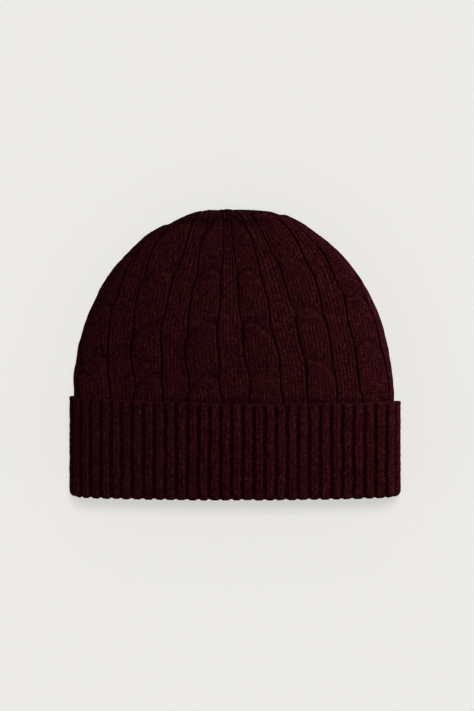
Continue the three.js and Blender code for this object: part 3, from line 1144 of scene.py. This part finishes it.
    def band(self, rib: Array, place: Array, course: float) -> tuple[Array, Array, Array]:
        """Knits the inner face of the band, its top edge, and the slit between it and the turn-up.

        Args:
            rib: Rib of each column.
            place: Place of each column across its rib.
            course: Course at which the inner face starts.

        Returns:
            Points, depths that the finish paints as shade, full in the slit, and stitch coordinates,
            going up the inside and back down the slit.
        """
        hat = self.hat
        x, z, normal_x, normal_z = self.outline((rib + place) * FULL_TURN / self.ribs)
        side = x / hat.half_width
        bend_top, rim = self.fold.at(side) + self.bend, self.rim.at(side)
        relief = self.rib_depth(place) * self.band_relief
        up = np.arange(self.band_rows)[:, None] / (self.band_rows - 1)
        inside = mix(bend_top, hat.band_top, up)
        slit = (
            (hat.band_top, hat.layer_step),
            (bend_top, hat.layer_step),
            (bend_top, hat.knit_wall),
            (rim - self.rim_inset, hat.knit_wall),
        )
        height = np.concatenate([inside, [top + 0.0 * x for top, _ in slit]])
        inward = 2.0 * self.bend - relief - self.band_inset + 0.0 * inside
        inward = np.concatenate([inward, [depth + 0.0 * x for _, depth in slit]])
        depth_and_shade = np.clip(relief / self.valley_depth, 0.0, 1.0) + 0.0 * inside
        inner_courses = course + (inside - bend_top) / hat.course
        slit_courses = inner_courses[-1] + 1.0 + np.arange(len(slit))[:, None]
        courses = np.concatenate([inner_courses, slit_courses])
        points = np.stack([x - normal_x * inward, height, z - normal_z * inward], axis=-1)
        stitches = stitch_map((rib + place) * self.wales_a_rib, courses, self.ribs * self.wales_a_rib)
        # The slit between the layers gets full painted shade, and the inner face its rib depth as
        # painted shade.
        return points, np.concatenate([depth_and_shade, np.ones((len(slit), len(x)))]), stitches

    def build(self, material: bpy.types.Material) -> bpy.types.Object:
        """Makes the cuff.

        Args:
            material: The rib knit's finish.

        Returns:
            The cuff as one closed mesh.
        """
        rib, place = self.columns()
        outside = self.turn_up(rib, place)
        last_course = outside[2][-1, 0, 1]
        inside = self.band(rib, place, last_course)
        points, depth_and_shade, stitches = (np.concatenate(pair) for pair in zip(outside, inside))
        skin = Skin(self.hat.base)
        numbers = skin.add_points(points, depth_and_shade)
        skin.add_band(numbers, stitches, outward=False)
        skin.add_band(numbers[[-1, 0]], stitches[[-1, 0]], outward=False)
        return skin.build("cuff_knit", material)


# ---- Finishes -------------------------------------------------------------------------------


class Graph:
    """Adds shader nodes to a tree, so that each step of a formula is one call."""

    def __init__(self, tree: bpy.types.NodeTree) -> None:
        """Keeps the tree that nodes are added to."""
        self.tree = tree

    def node(self, kind: str, **settings: object) -> bpy.types.Node:
        """Adds a node.

        Args:
            kind: Its type.
            settings: Its settings by name.

        Returns:
            The node.
        """
        made = self.tree.nodes.new(kind)
        for name, value in settings.items():
            setattr(made, name, value)
        return made

    def feed(self, socket: bpy.types.NodeSocket, value: object) -> None:
        """Links a socket to another one, or sets its value.

        Args:
            socket: The input.
            value: An output, or a number, colour or vector.
        """
        if isinstance(value, bpy.types.NodeSocket):
            self.tree.links.new(value, socket)
        else:
            socket.default_value = value

    def math(self, operation: str, *values: object) -> bpy.types.NodeSocket:
        """Adds a Math node.

        Args:
            operation: Its operation.
            values: Numbers or sockets, one for each input.

        Returns:
            Its result.
        """
        made = self.node("ShaderNodeMath", operation=operation)
        for socket, value in zip(made.inputs, values):
            self.feed(socket, value)
        return made.outputs[0]

    def multiply(self, first: object, second: object) -> bpy.types.NodeSocket:
        """Multiplies two values."""
        return self.math("MULTIPLY", first, second)

    def rest(self, value: object) -> bpy.types.NodeSocket:
        """What a share leaves of 1."""
        return self.math("SUBTRACT", 1.0, value)

    def arch(self, value: object, power: float) -> bpy.types.NodeSocket:
        """A rounded arch over a value from 0 to 1, fuller for a lower power."""
        return self.math("POWER", self.math("SINE", self.multiply(value, math.pi)), power)

    def spread(self, value: object, width: float, middle: float = 0.0) -> bpy.types.NodeSocket:
        """Brings a value from 0 to 1 on to a range of a width round a middle."""
        return self.math("MULTIPLY_ADD", value, width, middle - width / 2.0)

    def ramp(self, value: object, low: float, high: float) -> bpy.types.NodeSocket:
        """Rises smoothly from 0 at low to 1 at high.

        Args:
            value: Number or socket to read it at.
            low: Where the rise starts.
            high: Where it ends.

        Returns:
            The share of the rise.
        """
        made = self.node("ShaderNodeMapRange", interpolation_type="SMOOTHSTEP")
        for name, given in (("Value", value), ("From Min", low), ("From Max", high)):
            self.feed(made.inputs[name], given)
        return made.outputs["Result"]

    def noise(self, vector: object, scale: object, detail: float) -> bpy.types.NodeSocket:
        """Adds a Noise Texture.

        Args:
            vector: Where to read it.
            scale: Its scale.
            detail: Its detail.

        Returns:
            Its factor, from 0 to 1.
        """
        made = self.node("ShaderNodeTexNoise")
        for name, given in (("Vector", vector), ("Scale", scale), ("Detail", detail)):
            self.feed(made.inputs[name], given)
        return made.outputs["Fac"]

    def blend(self, share: object, low: object, high: object) -> bpy.types.NodeSocket:
        """Mixes two colours.

        Args:
            share: Share of the second.
            low: The first colour.
            high: The second colour.

        Returns:
            The mixed colour.
        """
        made = self.node("ShaderNodeMix", data_type="RGBA")
        colours = [socket for socket in made.inputs if socket.type == "RGBA"]
        for socket, given in zip([made.inputs["Factor"], *colours], (share, low, high)):
            self.feed(socket, given)
        return next(socket for socket in made.outputs if socket.type == "RGBA")


def new_group(name: str, inputs: dict[str, str], outputs: dict[str, str]) -> tuple[Graph, dict, dict]:
    """Starts a shader node group.

    Args:
        name: Its name.
        inputs: Socket type of each named input.
        outputs: Socket type of each named output.

    Returns:
        Its graph, what comes in and where to feed what goes out, by name.
    """
    tree = bpy.data.node_groups.new(name, "ShaderNodeTree")
    for side, sockets in (("INPUT", inputs), ("OUTPUT", outputs)):
        for socket, kind in sockets.items():
            tree.interface.new_socket(name=socket, in_out=side, socket_type=kind)
    graph = Graph(tree)
    given = graph.node("NodeGroupInput").outputs
    wanted = graph.node("NodeGroupOutput").inputs
    return graph, {key: given[key] for key in inputs}, {key: wanted[key] for key in outputs}


@dataclass(frozen=True)
class KnitStitch:
    """Single knit stitches: two slanting legs that make a V in every wale and course."""

    slope: float = 0.62
    leg_from: float = 0.35
    across_power: float = 0.6
    along_power: float = 0.55
    gap_low: float = 0.15
    gap_high: float = 0.75

    def build(self) -> bpy.types.NodeTree:
        """Makes the group.

        Returns:
            A group from stitch coordinates to the legs' height, a mask for the shade painted in the gaps
            between them and a number for each leg.
        """
        graph, given, wanted = new_group(
            "knit_stitches",
            {"Stitch": "NodeSocketVector"},
            {"Height": "NodeSocketFloat", "Gap": "NodeSocketFloat", "Leg": "NodeSocketVector"},
        )
        split = graph.node("ShaderNodeSeparateXYZ")
        graph.feed(split.inputs[0], given["Stitch"])
        wale, course = split.outputs[0], split.outputs[1]
        centred = graph.math("SUBTRACT", graph.math("FRACT", wale), 0.5)
        away = graph.multiply(graph.math("ABSOLUTE", centred), 2.0)
        slanted = graph.math("SUBTRACT", course, graph.multiply(away, self.slope))
        across_leg = graph.arch(graph.math("FRACT", slanted), self.across_power)
        along = graph.math("MULTIPLY_ADD", away, self.slope, self.leg_from)
        height = graph.multiply(across_leg, graph.arch(along, self.along_power))
        joined = graph.node("ShaderNodeCombineXYZ")
        graph.feed(joined.inputs[0], graph.math("FLOOR", graph.multiply(wale, 2.0)))
        graph.feed(joined.inputs[1], graph.math("FLOOR", slanted))
        graph.feed(wanted["Height"], height)
        # The gap mask marks where shade is painted between the legs.
        graph.feed(wanted["Gap"], graph.rest(graph.ramp(height, self.gap_low, self.gap_high)))
        graph.feed(wanted["Leg"], joined.outputs[0])
        return graph.tree


@dataclass(frozen=True)
class Heather:
    """Heathered yarn: bright and near-black fibres carded together, uneven from stitch to stitch."""

    fine_detail: float = 3.0
    tuft_scale: float = 0.37
    tuft_detail: float = 2.0
    tuft_spread: float = 0.1
    mottle_scale: float = 0.07
    mottle_detail: float = 1.0
    tone_spread: float = 0.3
    leg_spread: float = 0.1
    fibre_low: float = 0.5
    bright_high: float = 0.74
    dark_high: float = 0.72

    def build(self) -> bpy.types.NodeTree:
        """Makes the group.

        Returns:
            A group from a place and a leg's number to the shares of bright and of dark fibre and a tone.
        """
        graph, given, wanted = new_group(
            "heather",
            {"Place": "NodeSocketVector", "Leg": "NodeSocketVector", "Fleck": "NodeSocketFloat"},
            {"Bright": "NodeSocketFloat", "Dark": "NodeSocketFloat", "Tone": "NodeSocketFloat"},
        )
        place, fleck = given["Place"], given["Fleck"]
        cell = graph.node("ShaderNodeTexWhiteNoise", noise_dimensions="3D")
        graph.feed(cell.inputs["Vector"], given["Leg"])
        fine = graph.noise(place, fleck, self.fine_detail)
        coarse = graph.noise(place, graph.multiply(fleck, self.tuft_scale), self.tuft_detail)
        mottle = graph.noise(place, graph.multiply(fleck, self.mottle_scale), self.mottle_detail)
        own = graph.spread(cell.outputs["Value"], self.leg_spread)
        tuft = graph.math("ADD", graph.spread(coarse, self.tuft_spread), own)
        bright = graph.math("ADD", fine, tuft)
        dark = graph.rest(graph.math("ADD", fine, own))
        graph.feed(wanted["Bright"], graph.ramp(bright, self.fibre_low, self.bright_high))
        graph.feed(wanted["Dark"], graph.ramp(dark, self.fibre_low, self.dark_high))
        graph.feed(wanted["Tone"], graph.spread(mottle, self.tone_spread, 1.0))
        return graph.tree


def new_material(name: str, values: dict[str, object]) -> tuple[bpy.types.Material, bpy.types.Node]:
    """Starts a material.

    Args:
        name: Its name.
        values: What is the same all over its surface, by the name of the shader's socket.

    Returns:
        The material and its shader.
    """
    material = bpy.data.materials.new(name)
    material.use_nodes = True
    shader = material.node_tree.nodes["Principled BSDF"]
    for socket, value in values.items():
        shader.inputs[socket].default_value = value
    return material, shader


@dataclass(frozen=True)
class YarnFinish:
    """A soft, matt, heathered yarn knitted into stitches, with shade painted into the gaps between its
    stitches and into deep places.
    """

    name: str
    base: Colour = (0.0171, 0.0021, 0.0029, 1.0)
    bright: Colour = (0.083, 0.0168, 0.0212, 1.0)
    dark: Colour = (0.0043, 0.0008, 0.0012, 1.0)
    # Painted shade darkens the yarn towards this colour.
    shadow: Colour = (0.0, 0.0, 0.0, 1.0)
    fleck_scale: float = 2000.0
    gap_shade: float = 0.6
    depth_from: float = 0.45
    depth_shade: float = 0.31
    stitch_height: float = 0.35
    fibre_height: float = 0.08
    fibre_scale: float = 2.2
    fibre_detail: float = 2.0
    roughness: float = 0.95
    specular: float = 0.0
    sheen: float = 0.04
    sheen_roughness: float = 0.5
    sheen_tint: Colour = (0.5, 0.12, 0.15, 1.0)

    def build(self, groups: dict[str, bpy.types.NodeTree]) -> bpy.types.Material:
        """Makes the material.

        Args:
            groups: The shared node groups by name.

        Returns:
            The finish, which reads the stitch map and the sunk attribute of its piece, and darkens the
            yarn with painted shade in the gaps and deep places.
        """
        values = {
            "Roughness": self.roughness,
            "Specular IOR Level": self.specular,
            "Sheen Weight": self.sheen,
            "Sheen Roughness": self.sheen_roughness,
            "Sheen Tint": self.sheen_tint,
        }
        material, shader = new_material(self.name, values)
        graph = Graph(material.node_tree)
        places = graph.node("ShaderNodeTexCoord").outputs["Object"]
        depth_and_shade = graph.node("ShaderNodeAttribute", attribute_name=DEPTH_AND_SHADE).outputs["Fac"]
        stitches = graph.node("ShaderNodeGroup", node_tree=groups["stitches"])
        stitch_places = graph.node("ShaderNodeUVMap", uv_map=STITCH_MAP).outputs[0]
        graph.feed(stitches.inputs["Stitch"], stitch_places)
        heather = graph.node("ShaderNodeGroup", node_tree=groups["heather"])
        graph.feed(heather.inputs["Place"], places)
        graph.feed(heather.inputs["Leg"], stitches.outputs["Leg"])
        graph.feed(heather.inputs["Fleck"], self.fleck_scale)
        yarn = graph.blend(heather.outputs["Dark"], self.base, self.dark)
        yarn = graph.blend(heather.outputs["Bright"], yarn, self.bright)
        # Painted shade: the gaps between the stitches' legs and the deep places that the piece's depth
        # attribute marks (valleys, the slit, the band above the cuff's rim, the dip and the gather) are
        # darkened towards the shadow colour; the tone multiplied in is the yarn's own uneven mottle.
        painted_gap_shade = graph.multiply(stitches.outputs["Gap"], self.gap_shade)
        deep = graph.multiply(graph.ramp(depth_and_shade, self.depth_from, 1.0), self.depth_shade)
        lit = graph.multiply(graph.multiply(graph.rest(painted_gap_shade), graph.rest(deep)), heather.outputs["Tone"])
        graph.feed(shader.inputs["Base Color"], graph.blend(lit, self.shadow, yarn))
        fibre = graph.noise(places, self.fleck_scale * self.fibre_scale, self.fibre_detail)
        stitch_rise = graph.multiply(stitches.outputs["Height"], self.stitch_height)
        height = graph.math("ADD", stitch_rise, graph.multiply(fibre, self.fibre_height))
        bump = graph.node("ShaderNodeBump")
        graph.feed(bump.inputs["Height"], height)
        graph.feed(bump.inputs["Distance"], MM)
        graph.feed(shader.inputs["Normal"], bump.outputs[0])
        return material


# ---- Stage ----------------------------------------------------------------------------------


def place_light(name: str, light: bpy.types.Light, elevation: float, azimuth: float) -> bpy.types.Object:
    """Puts a light in the scene and turns it towards the hat.

    Args:
        name: Its name.
        light: The light.
        elevation: How high it stands, in degrees.
        azimuth: Where it stands, in degrees from the hat's top to its right.

    Returns:
        The light's object, still at the origin.
    """
    made = bpy.data.objects.new(name, light)
    made.rotation_mode = "XYZ"
    turns = (QUARTER_TURN - elevation, 0.0, HALF_TURN - azimuth)
    made.rotation_euler = [math.radians(turn) for turn in turns]
    bpy.context.scene.collection.objects.link(made)
    return made


@dataclass(frozen=True)
class Lamp:
    """A wide soft sun: its strength, its width and the direction that it stands in, in degrees."""

    name: str
    strength: float
    width: float
    elevation: float
    azimuth: float

    def build(self) -> None:
        """Makes the light."""
        light = bpy.data.lights.new(self.name, "SUN")
        light.energy = self.strength
        light.angle = math.radians(self.width)
        place_light(self.name, light, self.elevation, self.azimuth)

    @property
    def on_floor(self) -> float:
        """The light that it gives a level surface, where 1 shows a colour as it is."""
        return self.strength * math.sin(math.radians(self.elevation)) / math.pi


@dataclass(frozen=True)
class Softbox:
    """A square soft light near the hat: power, width and distance in metres, and its direction."""

    name: str
    power: float
    width: float
    distance: float
    elevation: float
    azimuth: float

    def build(self, lit: list[bpy.types.Object]) -> None:
        """Makes the light, flagged off the floor so that only the hat shades from one side to the other.

        Args:
            lit: The pieces that it lights.
        """
        light = bpy.data.lights.new(self.name, "AREA")
        light.energy = self.power
        light.shape = "SQUARE"
        light.size = self.width
        box = place_light(self.name, light, self.elevation, self.azimuth)
        rise, turn = math.radians(self.elevation), math.radians(self.azimuth)
        level = self.distance * math.cos(rise)
        box.location = (level * math.sin(turn), level * math.cos(turn), self.distance * math.sin(rise))
        receivers = bpy.data.collections.new(self.name + "_lights")
        for piece in lit:
            receivers.objects.link(piece)
        box.light_linking.receiver_collection = receivers


@dataclass(frozen=True)
class Stage:
    """The pale floor, the soft light from above and to the right, and the camera straight above."""

    hat: Hat
    floor_radius: float = 2.2
    sweep_radius: float = 1.0
    wall_height: float = 0.35
    floor_parts: int = 72
    sweep_steps: int = 14
    floor_colour: Colour = (0.831, 0.823, 0.791, 1.0)
    floor_glow: float = 0.66
    sky_colour: Colour = (1.0, 1.0, 1.0, 1.0)
    sky: float = 0.06
    bounce: float = 0.103
    key: Lamp = Lamp("key_sun", 1.06, 24.0, 66.0, 8.0)
    side: Softbox = Softbox("side_softbox", 2.05, 0.25, 0.43, 33.0, 70.0)
    lens: float = 85.0
    sensor: float = 36.0
    view_height: float = 0.5119
    view_offset: tuple[float, float] = (0.00144, -0.0007)

    def build(self, pieces: list[bpy.types.Object]) -> None:
        """Makes the floor, the lights and the camera.

        Args:
            pieces: The pieces of the hat.
        """
        self.lay_floor()
        self.make_lights(pieces)
        self.make_camera()
        bpy.context.scene.view_settings.view_transform = "Standard"

    def profile(self) -> list[tuple[float, float]]:
        """The floor's section: level, then a round sweep up to a low wall.

        Returns:
            Distances from the middle and heights, from the sweep's start to the top of the wall.
        """
        walk = [(self.floor_radius, 0.0)]
        for i in range(1, self.sweep_steps + 1):
            angle = math.radians(QUARTER_TURN * i / self.sweep_steps)
            out = self.floor_radius + self.sweep_radius * math.sin(angle)
            walk.append((out, self.sweep_radius * (1.0 - math.cos(angle))))
        walk.append((walk[-1][0], walk[-1][1] + self.wall_height))
        return walk

    def floor_mesh(self) -> bpy.types.Mesh:
        """Turns the floor's section round its middle.

        Returns:
            The mesh, smooth on its sweep and flat under the hat.
        """
        walk, n = self.profile(), self.floor_parts
        angles = [math.radians(FULL_TURN * i / n) for i in range(n)]
        points = [(out * math.cos(a), out * math.sin(a), up) for out, up in walk for a in angles]
        faces = [tuple(range(n))]
        for start in range(0, (len(walk) - 1) * n, n):
            for i in range(n):
                j = (i + 1) % n
                faces.append((start + i, start + n + i, start + n + j, start + j))
        mesh = bpy.data.meshes.new("floor")
        mesh.from_pydata(points, [], faces)
        mesh.polygons.foreach_set("use_smooth", [i > 0 for i in range(len(faces))])
        return mesh

    def lay_floor(self) -> None:
        """Lays the floor, which glows like a light table, so that it shows its colour evenly."""
        mesh = self.floor_mesh()
        lit = (1.0 - self.floor_glow) / (self.sky + self.bounce + self.key.on_floor)
        values = {
            "Base Color": (*(channel * lit for channel in self.floor_colour[:3]), 1.0),
            "Emission Color": self.floor_colour,
            "Emission Strength": self.floor_glow,
            "Roughness": 1.0,
            "Specular IOR Level": 0.0,
        }
        material, _ = new_material("pale_floor", values)
        mesh.materials.append(material)
        floor = bpy.data.objects.new("floor", mesh)
        floor.location.z = CAD_BOX[0][2]
        bpy.context.scene.collection.objects.link(floor)

    def make_lights(self, pieces: list[bpy.types.Object]) -> None:
        """Sets an even sky, a wide soft sun and a softbox at the side of the hat.

        Args:
            pieces: The pieces of the hat.
        """
        world = bpy.data.worlds.new("studio")
        world.use_nodes = True
        background = world.node_tree.nodes["Background"]
        background.inputs["Color"].default_value = self.sky_colour
        background.inputs["Strength"].default_value = self.sky
        bpy.context.scene.world = world
        self.key.build()
        self.side.build(pieces)

    def make_camera(self) -> None:
        """Hangs the camera straight above the hat."""
        lens = bpy.data.cameras.new("camera")
        lens.lens = self.lens
        lens.sensor_width = self.sensor
        camera = bpy.data.objects.new("camera", lens)
        distance = self.view_height * self.lens / self.sensor
        x, y = self.view_offset
        camera.location = (x, y, self.hat.thickness / 2.0 * MM + distance)
        bpy.context.scene.collection.objects.link(camera)
        bpy.context.scene.camera = camera


# ---- The hat --------------------------------------------------------------------------------


def seat(piece: bpy.types.Object, node: str) -> None:
    """Puts a piece in its CAD node's place.

    Args:
        piece: The piece.
        node: The node that it stands for.
    """
    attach(piece, "root")
    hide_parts(node)
    triangles = sum(len(face.vertices) - 2 for face in piece.data.polygons)
    LOG.info("%s stands for %s with %d triangles", piece.name, node, triangles)


def main() -> None:
    """Builds the crown, the cuff and the stage, with the hat's sizes read from the frame."""
    logging.basicConfig(level=logging.INFO, format="%(name)s: %(message)s")
    hat = Hat.from_frame()
    groups = {"stitches": KnitStitch().build(), "heather": Heather().build()}
    crown = Crown(hat, Envelope(hat)).build(YarnFinish("cable_knit_yarn").build(groups))
    seat(crown, "crown")
    rib_yarn = YarnFinish("rib_knit_yarn", gap_shade=0.56, depth_from=0.08, depth_shade=0.32)
    cuff = Cuff(hat).build(rib_yarn.build(groups))
    seat(cuff, "cuff")
    Stage(hat).build([crown, cuff])


if __name__ == "__main__":
    main()
